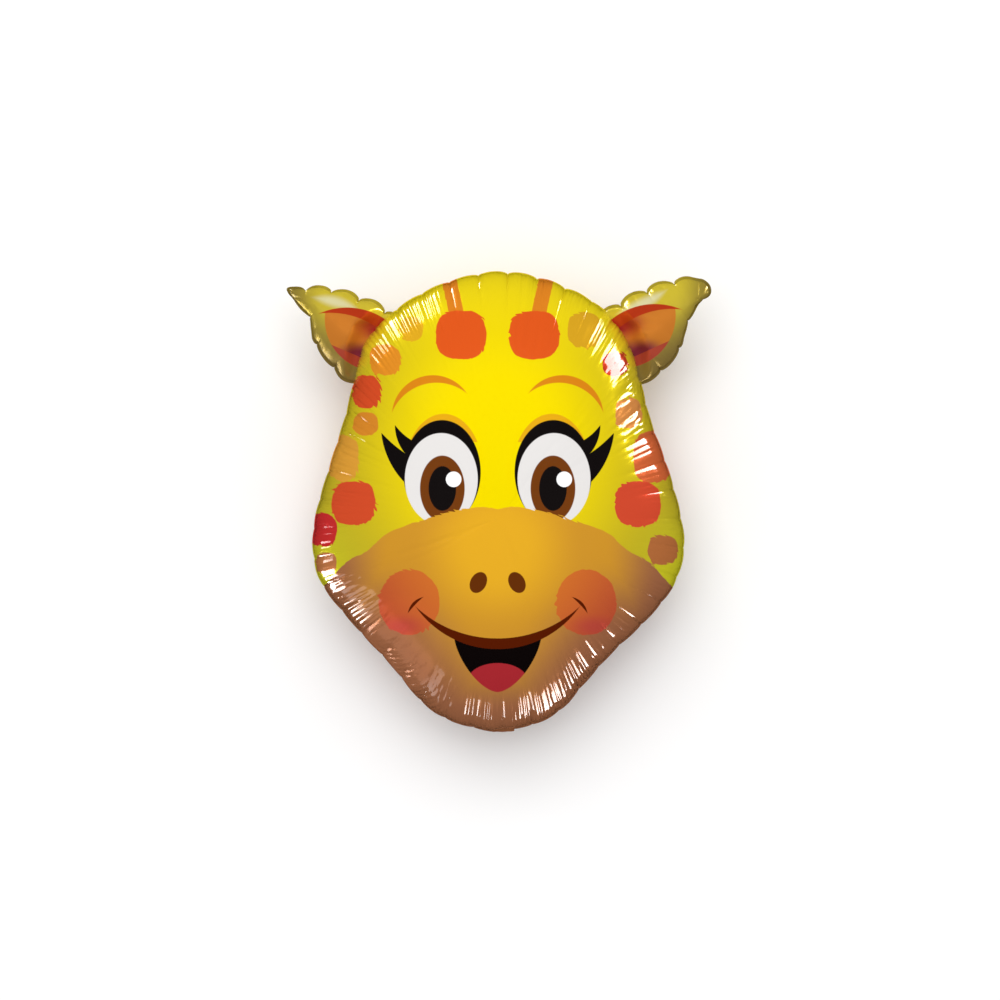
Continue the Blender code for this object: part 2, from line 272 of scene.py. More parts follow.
class Lobe:
    """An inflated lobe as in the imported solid, finely ringed and with the film's creases."""

    def __init__(self, outline, notch_start, pitch, thickness, pucker, rings, seed, margin, profile):
        curve = closed_curve(outline)
        self.length = curve_length(curve)
        self.scallops = round(self.length / pitch)
        self.columns = self.scallops * COLUMNS_PER_SCALLOP
        self.edge = evenly_spaced(curve, self.columns, notch_start)
        self.rim_place = np.arange(self.columns) * self.length / self.columns
        self.half_thickness = thickness / 2
        self.margin = margin
        self.profile = profile
        self.pucker = pucker
        self.rings = rings
        self.random = np.random.default_rng(seed)
        wave = np.abs(np.sin(np.pi * np.arange(self.columns) / COLUMNS_PER_SCALLOP))
        self.notch = 1.0 - np.sqrt(wave)
        depths = self.random.uniform(*PUCKER_SHARES, self.scallops)
        nearest = np.round(np.arange(self.columns) / COLUMNS_PER_SCALLOP).astype(int) % self.scallops
        self.pinch = (1.0 - wave**PUCKER_SHARPNESS) * depths[nearest]
        self.axis_points = self.axis(self.edge)

    def border_point(self, margin):
        """The film's edge for a border of this width, drawn in between the scallops."""
        inset = margin + self.scallop(self.edge) * self.notch
        return self.edge + unit(self.axis_points - self.edge) * inset[:, None]

    def shares(self):
        """The share of the way out for each ring, from its distance along the film."""
        share = np.linspace(1.0, 0.0, 2001)
        reach = np.linalg.norm(self.edge - self.axis_points, axis=1).mean()
        steps = np.hypot(np.diff(share) * reach, np.diff(swell(share, self.profile)) * self.half_thickness)
        run = np.concatenate([[0.0], np.cumsum(steps)]) / MM
        return np.interp([d for d, _ in self.rings], run, share)

    def film(self, face):
        """Points of the creased film, ring by ring."""
        share = self.shares()[:, None]
        rim = self.edge + (self.border_point(self.margin) - self.edge) * (share**FADE_POWER)[..., None]
        outline = self.rounded(self.edge, rim, share)
        flat = self.axis_points + (outline - self.axis_points) * share[..., None]
        height = self.half_thickness * self.taper(flat) * swell(share, self.profile)
        height = self.pinched(height, flat)
        reach = np.linalg.norm(rim - self.axis_points, axis=-1)
        pucker = self.pucker * np.exp((share - 1.0) * reach / PUCKER_REACH)
        height = height - pucker * self.pinch * np.minimum(1.0, height / (PUCKER_CLEARANCE * self.pucker))
        height = np.maximum(WELD_THICKNESS / 2, height)
        points = np.concatenate([flat, (WELD_HEIGHT + face * height)[..., None]], axis=-1)
        along = np.roll(points, -1, axis=1) - np.roll(points, 1, axis=1)
        inward = np.gradient(points, axis=0)
        normal = unit(np.cross(inward, along)) * face
        normal *= np.sign((normal[..., 2] * face).sum())
        run = np.array([d for d, _ in self.rings])[:, None] * np.ones(self.columns)
        grip = CREASES_AT_WELD + (1.0 - CREASES_AT_WELD) * smooth_step(run, *CREASES_FROM_WELD)
        depth = self.creases(share, run) * grip + self.folds(flat)
        depth += self.crinkles(points) * smooth_step(run, *CRINKLES_FROM_WELD)
        depth = np.minimum(depth * MM, MOST_DEPTH * height)
        return points - normal * depth[..., None]

    def crinkles(self, points):
        """Depth in millimetres of the small crinkles that cross the creases."""
        depth = np.empty(points.shape[:2])
        amount = CRINKLE * self.crinkled(self.rim_place / MM)
        for i, ring in enumerate(points):
            for j, point in enumerate(ring):
                depth[i, j] = amount[j] * abs(noise.noise(point / CRINKLE_PITCH))
        return depth

    def pleats(self, run, share, places, kind, amount=1.0, length=1.0, towards=None):
        """Depth in millimetres of one kind of crease at all these places round the rim."""
        rim = self.rim_place / MM
        around = self.length / MM
        depths = self.random.uniform(*kind.depth, len(places)) * amount
        reaches = self.random.uniform(*kind.reach, len(places)) * length
        fade_in = smooth_step(run, kind.start, kind.start + CREASE_FADE_IN)
        half_width = kind.half_width * (1.0 + run / CREASE_SPREAD)
        total = np.zeros_like(run)
        for place, depth, reach in zip(places, depths, reaches):
            way = (run - kind.start) / (reach - kind.start)
            line = place + kind.lean * (run - kind.start)
            if towards is not None:
                gap = (towards - place + around / 2) % around - around / 2
                line = line + gap[np.argmin(np.abs(gap))] * CREASE_GATHER * smooth_step(way, 0.0, 1.0)
            across = ((rim - line + around / 2) % around - around / 2) * share
            fade = fade_in * np.clip(1.0 - way, 0.0, 1.0) ** CREASE_FADE_POWER
            total += depth * fade * furrow(across, half_width)
        return total

    def scattered(self, kind):
        """Places round the rim in millimetres for this kind of crease, about its pitch apart."""
        length = self.length / MM
        count = round(length / kind.pitch)
        return (np.arange(count) + self.random.uniform(-kind.jitter, kind.jitter, count)) * length / count

    def notches_and_middles(self):
        """Places round the rim in millimetres: between the scallops, and near the middle of each."""
        notches = np.arange(self.scallops) * self.length / MM / self.scallops
        off = self.random.uniform(-MIDDLE_JITTER, MIDDLE_JITTER, self.scallops)
        return notches, notches + self.length / MM / self.scallops / 2 + off

    def folds(self, flat):
        """Depth in millimetres of single deep folds."""
        return np.zeros(flat.shape[:2])

    def border_rings(self, face):
        """The weld's flat border from its edge inwards, waved as it draws in."""
        wave = self.border_wave()
        rings = []
        for share, lift in BORDER_RINGS:
            flat = self.border_point(share * self.margin)
            height = WELD_HEIGHT + wave * lift + face * WELD_THICKNESS / 2
            rings.append(np.column_stack([flat, height]))
        return rings

    def border_wave(self):
        turns = 2.0 * np.pi * (self.rim_place / MM) / (self.length / MM)
        wave = np.zeros(self.columns)
        for pitch, share in BORDER_WAVES:
            count = round(self.length / MM / pitch)
            wave += share * self.margin * np.sin(count * turns + self.random.uniform(0.0, 2.0 * np.pi))
        return wave

    def build(self, name):
        """The lobe as an object: both films from the border in, closed at the middle."""
        points = []
        faces = []
        borders = {}
        drawn = self.random.bit_generator.state
        for face in (1, -1):
            # Both films take the same draws, so that their creases and borders match at the weld.
            self.random.bit_generator.state = drawn
            rings = [(ring, 1) for ring in self.border_rings(face)]
            film = self.film(face)
            rings += [(film[k], skip * COLUMN_STEP[face]) for k, (_, skip) in enumerate(self.rings)]
            outer = None
            for ring, skip in rings:
                kept = ring[::skip]
                inner = np.arange(len(kept)) + sum(map(len, points))
                points.append(kept)
                if outer is None:
                    borders[face] = inner
                else:
                    faces += strip(outer, inner, face)
                outer = inner
            if self.has_pole:
                pole = sum(map(len, points))
                points.append(self.pole(face))
                faces += [(a, b, pole)[::face] for a, b in zip(outer, np.roll(outer, -1))]
            else:
                faces += self.cap(outer, kept, face)
        faces += strip(borders[-1], borders[1], 1)
        return solid(name, np.vstack(points), faces)


def strip(outer, inner, face):
    """Faces between two rings, the inner one with as many points or with half as many."""
    faces = []
    count = len(outer)
    if len(inner) == count:
        for i in range(count):
            faces.append((outer[i - 1], outer[i], inner[i], inner[i - 1])[::face])
        return faces
    for i in range(0, count, 2):
        near = inner[i // 2]
        far = inner[(i // 2 + 1) % len(inner)]
        faces.append((outer[i], outer[i + 1], near)[::face])
        faces.append((outer[i + 1], outer[(i + 2) % count], far)[::face])
        faces.append((outer[i + 1], far, near)[::face])
    return faces


def solid(name, points, faces):
    """A closed object of these points, none of them under the floor, with its faces outwards."""
    points[:, 2] = np.maximum(points[:, 2], 0.0)
    mesh = bpy.data.meshes.new(name)
    mesh.from_pydata([tuple(map(float, p)) for p in points], [], [tuple(map(int, f)) for f in faces])
    mesh.update()
    piece = bpy.data.objects.new(name, mesh)
    bpy.context.scene.collection.objects.link(piece)
    pick(piece)
    bpy.ops.object.mode_set(mode="EDIT")
    bpy.ops.mesh.select_all(action="SELECT")
    bpy.ops.mesh.normals_make_consistent(inside=False)
    bpy.ops.object.mode_set(mode="OBJECT")
    part_of_ear = mesh.attributes.new("ear", "FLOAT", "FACE")
    part_of_ear.data.foreach_set("value", [float("ear" in name)] * len(mesh.polygons))
    return piece


def pick(piece):
    """Makes this the one selected and active object."""
    bpy.ops.object.select_all(action="DESELECT")
    piece.select_set(True)
    bpy.context.view_layer.objects.active = piece


class HeadLobe(Lobe):
    has_pole = True

    def __init__(self):
        left = [(-x, y) for x, y in reversed(HEAD_LEFT_SHAPE)]
        shape = np.array([(0.0, 1.0)] + HEAD_RIGHT_SHAPE + [(0.0, -1.0)] + left)
        outline = shape * (HEAD_WIDTH / 2, HEAD_LENGTH / 2)
        super().__init__(
            outline, HEAD_NOTCH_START, HEAD_SCALLOP_PITCH, HEAD_THICKNESS, HEAD_PUCKER, HEAD_RINGS,
            HEAD_SEED, HEAD_WELD_MARGIN, HEAD_PROFILE,
        )

    def axis(self, edge):
        """The head draws in to its middle from all round."""
        return np.broadcast_to(HEAD_MIDDLE, edge.shape)

    def taper(self, flat):
        return 1.0

    def pinched(self, height, flat):
        return height

    def scallop(self, edge):
        """How deep the scallops are: most on top of the crown."""
        left, top = CROWN_SCALLOP_SHARES
        crown = smooth_step(edge[:, 1] / (HEAD_LENGTH / 2), *CROWN_BAND)
        crown *= left + (top - left) * smooth_step(edge[:, 0], *CROWN_TOP)
        crown *= 1.0 - smooth_step(edge[:, 0], *CROWN_RIGHT_END)
        return JAW_SCALLOP + (CROWN_SCALLOP - JAW_SCALLOP) * crown

    def rounded(self, edge, rim, share):
        """The outline at each share of the way out: an oval near the middle, the rim at the weld."""
        direction = unit(edge - HEAD_MIDDLE)
        reach = np.linalg.norm(direction / (HEAD_WIDTH / 2, HEAD_LENGTH / 2), axis=1)
        oval = HEAD_MIDDLE + direction / reach[:, None]
        turn = ROUNDING * (1.0 - smooth_step(share, ROUNDING_CORE, 1.0))[..., None]
        return rim + (oval - rim) * turn

    def gap(self, points):
        """How far outside the head's outline points lie, below zero inside it."""
        turn = np.arctan2(*(self.edge - HEAD_MIDDLE).T[::-1])
        order = np.argsort(turn)
        far = np.linalg.norm(self.edge - HEAD_MIDDLE, axis=1)
        away = points - HEAD_MIDDLE
        limit = np.interp(np.arctan2(away[..., 1], away[..., 0]), turn[order], far[order])
        return np.linalg.norm(away, axis=-1) - limit

    def pole(self, face):
        return np.array([(*HEAD_MIDDLE, WELD_HEIGHT + face * self.half_thickness)])

    def turn(self, places):
        """How far round the head these places on its rim are, in degrees from +X."""
        x, y = (np.interp(places * MM, self.rim_place, self.edge[:, k]) for k in (0, 1))
        return np.degrees(np.arctan2(y - HEAD_MIDDLE[1], x)) % 360.0

    def by_turn(self, places, stops):
        """The value at these places on the rim, from stops round the head."""
        return np.interp(self.turn(places), *zip(*stops))

    def crinkled(self, places):
        """How crinkled the film is at these places round the rim."""
        return self.by_turn(places, HEAD_CRINKLED)

    def creases(self, share, run):
        """Depth in millimetres of all the head's creases and pleats."""
        notches, middles = self.notches_and_middles()
        depth = self.pleats(run, share, middles, SCALLOP_CREASES, self.by_turn(middles, HEAD_CREASED))
        fine = self.scattered(FINE_CREASES)
        creased = self.by_turn(fine, HEAD_CREASED)
        amount = LEAST_FINE_DEPTH + (1.0 - LEAST_FINE_DEPTH) * creased
        length = LEAST_FINE_REACH + (1.0 - LEAST_FINE_REACH) * creased
        towards = np.concatenate([notches, middles])
        depth += self.pleats(run, share, fine, FINE_CREASES, amount, length, towards)
        finest = self.scattered(FINEST_CREASES)
        depth += self.pleats(run, share, finest, FINEST_CREASES, self.by_turn(finest, HEAD_CREASED))
        long = self.scattered(LONG_CREASES)
        depth += self.pleats(run, share, long, LONG_CREASES, self.long_creased(long))
        pleated = self.scattered(JAW_PLEATS)
        depth += self.pleats(run, share, pleated, JAW_PLEATS, self.by_turn(pleated, JAW_PLEATED))
        depth += self.pleats(run, share, pleated, CHEEK_PLEATS, self.by_turn(pleated, CHEEK_PLEATED))
        return depth

    def long_creased(self, places):
        """How deep the long creases are at these places, as a share: most at the temples."""
        y = np.interp(places * MM, self.rim_place, self.edge[:, 1])
        temple = np.exp(-(((y - TEMPLE_HEIGHT) / TEMPLE_SPREAD) ** 2)) + TEMPLE_ELSEWHERE
        return temple * self.by_turn(places, LONG_CREASED)


class EarLobe(Lobe):
    """An ear, drawn in on a spine from its root to its tip. Side is 1 or -1, as X."""

    has_pole = False

    def __init__(self, side, shape, notch_start, seed, head):
        self.head = head
        out, up = EAR_ROOT_SHARE
        self.root = np.array((side * out * HEAD_WIDTH / 2, up * HEAD_LENGTH / 2))
        self.along = np.array((side * math.cos(EAR_TILT), math.sin(EAR_TILT)))
        self.across = np.array((-side * math.sin(EAR_TILT), math.cos(EAR_TILT)))
        outline = [self.point(u, v) for u, v in shape + EAR_ROOT_SHAPE]
        super().__init__(
            outline, notch_start, EAR_SCALLOP_PITCH, EAR_THICKNESS, EAR_PUCKER, EAR_RINGS, seed,
            EAR_WELD_MARGIN, EAR_PROFILE,
        )

    def point(self, u, v):
        return self.root + EAR_LENGTH * (u * self.along + v * self.across)

    def share_along(self, points):
        return (points - self.root) @ self.along / EAR_LENGTH

    def axis(self, edge):
        """The ear draws in to a spine, on which each point of the edge has its own place."""
        start, end = EAR_SPINE
        drawn = smooth_step(self.share_along(edge), start - EAR_SPINE_FAN[0], end + EAR_SPINE_FAN[1])
        u = (start + (end - start) * drawn)[:, None]
        return self.root + EAR_LENGTH * (u * self.along + EAR_SPINE_LEAN * self.across)

    def taper(self, flat):
        return 1.0 - EAR_TAPER * smooth_step(self.share_along(flat), EAR_TAPER_START, 1.0)

    def pinched(self, height, flat):
        """The ear's height, pinched against the head, most where it is fullest."""
        near = 1.0 - smooth_step(self.head.gap(flat), *EAR_ROOT_REACH)
        return height / (1.0 + EAR_ROOT_PINCH * near**2 * height / self.half_thickness)

    def scallop(self, edge):
        """How deep the scallops are: most along the top, none round the tip."""
        share_across = (edge - self.root) @ self.across / EAR_LENGTH
        top = smooth_step(share_across, *EAR_TOP_BAND)
        depth = EAR_BACK_SCALLOP + (EAR_TOP_SCALLOP - EAR_BACK_SCALLOP) * top
        return depth * (1.0 - smooth_step(self.share_along(edge), *EAR_TIP_BAND))

    def rounded(self, edge, rim, share):
        """The ear keeps its outline all the way in."""
        return rim

    def cap(self, ring, points, face):
        """Faces across the innermost ring, from the ear's tip to its root."""
        count = len(ring)
        tip = int(np.argmax(self.share_along(points[:, :2])))
        faces = []
        for k in range(count // 2):
            corners = [ring[(tip + i) % count] for i in (k, k + 1, -k - 1, -k)]
            faces.append(tuple(dict.fromkeys(corners))[::face])
        return faces

    def crinkled(self, places):
        """How crinkled the film is at these places round the rim: most on the ear's top."""
        x, y = (np.interp(places * MM, self.rim_place, self.edge[:, k]) for k in (0, 1))
        away = np.column_stack([x, y]) - self.root
        top = smooth_step(away @ self.across, *EAR_TOP_EDGE)
        middle, spread = EAR_TOP_CRINKLES
        near = np.exp(-(((away @ self.along / EAR_LENGTH - middle) / spread) ** 2))
        return EAR_CRINKLED + EAR_TOP_CRINKLED * top * near

    def folds(self, flat):
        places = np.abs(flat / MM) if self.along[0] < 0 else flat / MM
        depth = np.zeros(flat.shape[:2])
        for start, end, deep, width in EAR_FOLDS:
            line = np.subtract(end, start)
            length = np.linalg.norm(line)
            line = line / length
            way = (places - start) @ line / length
            off = (places - start) @ (-line[1], line[0]) - EAR_FOLD_BOW * way * (1.0 - way)
            fade_in, fade_out = EAR_FOLD_FADES
            fade = smooth_step(way, *fade_in) * (1.0 - smooth_step(way, *fade_out))
            depth += deep * fade * furrow(off, width)
        return depth

    def creases(self, share, run):
        """Depth in millimetres of all the ear's creases."""
        notches, middles = self.notches_and_middles()
        depth = self.pleats(run, share, middles, EAR_SCALLOP_CREASES)
        fine = self.scattered(EAR_FINE_CREASES)
        towards = np.concatenate([notches, middles])
        return depth + self.pleats(run, share, fine, EAR_FINE_CREASES, towards=towards)


def fuse(body, other):
    """Unites the other object with the body and removes it."""
    pick(body)
    join = body.modifiers.new(other.name, "BOOLEAN")
    join.operation = "UNION"
    join.solver = "EXACT"
    join.object = other
    bpy.ops.object.modifier_apply(modifier=join.name)
    bpy.data.objects.remove(other, do_unlink=True)


def tail_path(head):
    """The tail's way along the back film from the chin, as Y and Z, with a straight end."""
    chin = int(np.argmin(head.edge[:, 1]))
    share = np.linspace(1.0, TAIL_WAY_IN, 60)
    flat = head.axis_points[chin] + (head.edge[chin] - head.axis_points[chin]) * share[:, None]
    profile = np.column_stack([flat[:, 1], WELD_HEIGHT - head.half_thickness * swell(share, HEAD_PROFILE)])
    profile[:, 0] += HEAD_WELD_MARGIN * share**FADE_POWER
    run = np.concatenate([[0.0], np.cumsum(np.linalg.norm(np.diff(profile, axis=0), axis=1))])
    places = np.linspace(0.0, TAIL_FOLDED_LENGTH - TAIL_FLAT_END, TAIL_PRESSED_RINGS)
    path = np.column_stack([np.interp(places, run, profile[:, k]) for k in (0, 1)])
    end = unit(path[-1] - path[-2])
    steps = np.linspace(0.0, TAIL_FLAT_END, TAIL_FLAT_RINGS + 1)[1:, None]
    return np.vstack([path, path[-1] + end * steps])


def folded_tail(head):
    """The filling tail, pressed flat against the back film, with welded sides and a cut end."""
    path = tail_path(head)
    direction = unit(np.gradient(path, axis=0))
    outward = np.column_stack([direction[:, 1], -direction[:, 0]])
    across = np.linspace(-1.0, 1.0, TAIL_COLUMNS)
    width = across * TAIL_WIDTH / 2
    puff = np.clip(1.0 - across**2, 0.0, 1.0) ** TAIL_PUFF_POWER
    turns_across, turns_along = TAIL_RIPPLE_TURNS
    points = []
    for i, (place, out) in enumerate(zip(path, outward)):
        ripple = TAIL_RIPPLE * np.sin(across * turns_across + i * turns_along)
        proud = TAIL_EDGE_PROUD + (TAIL_PROUD - TAIL_EDGE_PROUD) * puff + ripple
        outer = place + out * proud[:, None]
        inner = np.broadcast_to(place - out * TAIL_ROOT_DEPTH, outer.shape)
        points.append(np.vstack([np.column_stack([width, outer]), np.column_stack([width, inner])[::-1]]))
    size = len(points[0])
    faces = []
    for i in range(len(path) - 1):
        near = np.arange(size) + i * size
        faces += strip(near, near + size, 1)
    faces.append(tuple(range(size)))
    faces.append(tuple(np.arange(size)[::-1] + (len(path) - 1) * size))
    return solid("filling_tail", np.vstack(points), faces)


def balloon_envelope():
    """The head, the ears and the filling tail as one closed piece."""
    head = HeadLobe()
    envelope = head.build("balloon_envelope")
    for name, *ear in EARS:
        fuse(envelope, EarLobe(*ear, head).build(name))
    fuse(envelope, folded_tail(head))
    pick(envelope)
    bpy.ops.object.shade_smooth_by_angle(angle=math.radians(50.0))
    return envelope


def srgb(red, green, blue):
    """A colour seen on a screen, as light."""
    shares = [level / 255 for level in (red, green, blue)]
    return (*(((c + 0.055) / 1.055) ** 2.4 if c > 0.04045 else c / 12.92 for c in shares), 1.0)


class Ink:
    """A value in the film's shader. Sums with it add nodes."""

    tree = None

    def __init__(self, socket):
        self.socket = socket

    @classmethod
    def node(cls, kind, settings, sockets, output=0):
        node = cls.tree.nodes.new(kind)
        for name, value in settings.items():
            setattr(node, name, value)
        for name, value in sockets.items():
            if isinstance(value, Ink):
                cls.tree.links.new(value.socket, node.inputs[name])
            else:
                node.inputs[name].default_value = value
        return cls(node.outputs[output])

    @classmethod
    def math(cls, operation, *values, clamp=False):
        settings = {"operation": operation, "use_clamp": clamp}
        return cls.node("ShaderNodeMath", settings, dict(enumerate(values)))

    @classmethod
    def vector(cls, operation, *values, output=0):
        return cls.node("ShaderNodeVectorMath", {"operation": operation}, dict(enumerate(values)), output)

    @classmethod
    def length(cls, vector):
        return cls.vector("LENGTH", vector, output=1)

    def __add__(self, other):
        return Ink.math("ADD", self, other)

    def __sub__(self, other):
        return Ink.math("SUBTRACT", self, other)

    def __rsub__(self, other):
        return Ink.math("SUBTRACT", other, self)

    def __mul__(self, other):
        return Ink.math("MULTIPLY", self, other)

    def __truediv__(self, other):
        return Ink.math("DIVIDE", self, other)

    def __pow__(self, other):
        return Ink.math("POWER", self, other)

    def __neg__(self):
        return Ink.math("MULTIPLY", self, -1.0)

    __radd__ = __add__
    __rmul__ = __mul__

    def size(self):
        return Ink.math("ABSOLUTE", self)

    def root(self):
        return Ink.math("SQRT", self)

    def scaled(self, factor, offset):
        return Ink.math("MULTIPLY_ADD", self, factor, offset)

    def between(self, low, high):
        """0 at low, 1 at high, smooth in between."""
        settings = {"interpolation_type": "SMOOTHSTEP"}
        return Ink.node("ShaderNodeMapRange", settings, {"Value": self, "From Min": low, "From Max": high})


def larger(one, other):
    return Ink.math("MAXIMUM", one, other)


def smaller(one, other):
    return Ink.math("MINIMUM", one, other)


EDGE_SOFTNESS = 0.5  # millimetres over which one ink gives way to the next


def inside(distance):
    """1 where a distance in millimetres to a shape's edge is negative, 0 outside."""
    return Ink.math("MULTIPLY_ADD", distance, -1.0 / EDGE_SOFTNESS, 0.5, clamp=True)


def mixed(factor, under, over):
    """One colour laid over another by this factor."""
    settings = {"data_type": "RGBA"}
    return Ink.node("ShaderNodeMix", settings, {"Factor": factor, 6: under, 7: over}, output=2)


class Place:
    """A point on the print in millimetres, with its X and Y."""

    def __init__(self, x, y):
        self.x = x
        self.y = y
        self.both = Ink.node("ShaderNodeCombineXYZ", {}, {"X": x, "Y": y})

    def from_middle(self, middle, radii):
        """The place as seen from an oval's middle, in its radii."""
        scale = (1.0 / radii[0], 1.0 / radii[1], 0.0)
        shift = (-middle[0] / radii[0], -middle[1] / radii[1], 0.0)
        return Ink.vector("MULTIPLY_ADD", self.both, scale, shift)

    def oval(self, middle, radii):
        """Distance to an oval's edge, negative inside."""
        return (Ink.length(self.from_middle(middle, radii)) - 1.0) * min(radii)

    def spot(self, middle, radii):
        """Distance to the edge of a spot, which is an oval with fuller corners."""
        near = self.from_middle(middle, radii)
        squarer = Ink.length(Ink.vector("MULTIPLY", near, near)).root()
        return (Ink.length(near) + squarer - 2.0) * (min(radii) / 2)

    def circle(self, middle, radius):
        return Ink.vector("DISTANCE", self.both, (*middle, 0.0), output=1) - radius

    def stroke(self, start, end, bend, half_width, pointed_start):
        """Distance to a bent stroke's edge. It narrows to its end, and to its start too if pointed."""
        length = math.dist(start, end)
        along = ((end[0] - start[0]) / length, (end[1] - start[1]) / length, 0.0)
        side = (-along[1], along[0], 0.0)
        from_start = Ink.vector("SUBTRACT", self.both, (*start, 0.0))
        way = Ink.vector("DOT_PRODUCT", from_start, along, output=1) / length
        off = Ink.vector("DOT_PRODUCT", from_start, side, output=1)
        hump = way * (1.0 - way)
        off = off - hump * (4.0 * bend)
        if pointed_start:
            width = hump * (4.0 * half_width)
        else:
            width = larger(1.0 - way, 0.0) ** 0.85 * half_width
        ends = larger(-way, way - 1.0) * length
        return larger(off.size() - width, ends)


# The print, in millimetres, on the right where both sides are alike. A shape is a middle and radii.
FACE_AXIS = -2.2  # X of the printed face's line of symmetry
EYE_DISTANCE = 3000.0  # from which the print is to look right
YELLOW = srgb(255, 229, 0)
# The olive and the greenish yellow are painted shade on the coat.
RIM_SHADE_OLIVE = srgb(190, 170, 42)
LOW_SHADE_GREENISH = srgb(214, 208, 40)
AMBER = srgb(240, 180, 40)
BROWN = srgb(166, 106, 72)
BLACK = srgb(20, 16, 16)

# Each spot of the coat: middle, radii, colour.
SPOTS = [
    ((-75.8, 146.0), (10.2, 10.2), srgb(232, 176, 36)),
    ((-97.9, 119.7), (13.3, 13.0), srgb(232, 146, 40)),
    ((-113.5, 93.0), (12.5, 14.1), srgb(220, 80, 40)),
    ((-114.5, 65.4), (10.3, 9.8), srgb(222, 140, 44)),
    ((-133.6, 36.1), (13.6, 20.0), srgb(228, 162, 58)),
    ((-124.7, -1.9), (18.9, 18.7), srgb(218, 80, 44)),
    ((-151.0, -24.8), (12.0, 14.5), srgb(204, 48, 48)),
    ((-148.1, -52.9), (8.8, 9.0), srgb(192, 120, 72)),
    ((71.5, 145.2), (14.4, 15.2), srgb(222, 168, 36)),
    ((97.8, 116.3), (10.8, 10.4), srgb(184, 58, 34)),
    ((109.1, 74.6), (11.4, 13.0), srgb(224, 146, 76)),
    ((130.0, 37.4), (17.0, 22.0), srgb(214, 104, 58)),
    ((117.1, -2.7), (19.6, 19.2), srgb(218, 78, 50)),
    ((138.4, -41.8), (12.8, 12.6), srgb(186, 112, 62)),
]
HORN_TIP = ((31.0, 141.0), (21.4, 20.8))
HORN_HALF_WIDTH = 6.4
HORN_FOOT = 155.0
EAR_SKEW = 0.0115  # the print's rise over the ears from left to right, as a share of X
# Pale strokes along the top of each ear, a painted highlight: start, end, bend and half width.
EAR_PAINTED_GLINTS = (
    ((-163.0, 173.5), (-118.0, 162.0), 1.5, 6.5),
    ((96.0, 158.0), (144.0, 181.0), -2.5, 7.0),
)
EAR_INSIDE_FOOT = 110.0
EAR_BAND_FOOT = 140.0
EAR_TOP = ((131.0, 107.6), 58.2)
EAR_INSIDE = ((105.0, 156.0), 44.2)
EAR_BAND_LOWER = ((145.5, 91.0), 70.5)
# Painted shade inside each ear, as ovals: purple low down, dark red next to the head.
EAR_SHADE = ((121.0, 125.0), (20.0, 11.0))
EAR_ROOT_SHADE = ((100.0, 150.0), (22.0, 13.0))
BROW_FOOT = 66.0
BROW_UPPER = ((55.1, 72.0), 34.8)
BROW_LOWER = ((51.9, 59.3), 41.1)
LID_SHADE_FOOT = 50.0
LID_SHADE = ((45.9, 24.5), (33.5, 49.5))
LID = ((47.3, 24.5), (32.9, 44.2))
# Each lash: start, end, bend and half width.
LASHES = (
    ((70.0, 23.6), (98.8, 57.6), -3.4, 12.1),
    ((69.3, 42.0), (87.3, 64.3), -2.8, 8.0),
)
EYE_WHITE = ((47.9, 18.5), (31.0, 39.1))
IRIS = ((47.0, 10.5), (19.0, 28.0))
PUPIL = ((47.0, 10.5), (11.7, 19.0))
EYE_GLINTS = ((-39.6, 18.3), (54.4, 18.3))
EYE_GLINT_RADIUS = 6.6
CHEEK = ((75.2, -86.3), (26.0, 27.8))
CHEEK_FLUSH = ((82.0, -107.0), (17.0, 8.0))
NOSTRIL_PLACE = (16.4, -69.4)
NOSTRIL_RADII = (7.2, 8.9)
NOSTRIL_LEAN = 0.22
SMILE_UPPER = ((0.5, -15.3), 101.7)
SMILE_LOWER = ((0.5, -41.6), 84.4)
SMILE_CORNER = ((63.0, -81.6), (76.4, -95.6), 1.8, 1.3)
MOUTH_HALF_WIDTH = 36.8
MOUTH_TOP = -100.0
MOUTH_WIDEST = -117.0
MOUTH_DEPTH = 45.6
TONGUE = ((0.0, -153.2), (25.5, 15.3))
SATIN_JAW = ((-84.0, -122.0), (36.0, 42.0))
MUZZLE_TOP = [
    (0.0, -7.2), (15.0, -5.2), (26.0, -6.6), (42.0, -9.9), (66.0, -17.2), (80.0, -21.6),
    (95.0, -28.6), (104.0, -36.5), (113.0, -43.8), (124.0, -49.0), (146.0, -70.7), (170.0, -96.0),
]
CURVE_RANGE = (170.0, 100.0)


def curve(value, stops):
    """The height of a smooth line over a value, both in millimetres."""
    wide, high = CURVE_RANGE
    height = Ink.node("ShaderNodeFloatCurve", {}, {"Value": value * (1.0 / wide)})
    mapping = height.socket.node.mapping
    line = mapping.curves[0]
    line.points[0].location = (stops[0][0] / wide, -stops[0][1] / high)
    line.points[1].location = (stops[-1][0] / wide, -stops[-1][1] / high)
    for x, y in stops[1:-1]:
        line.points.new(x / wide, -y / high)
    mapping.update()
    return height * -high


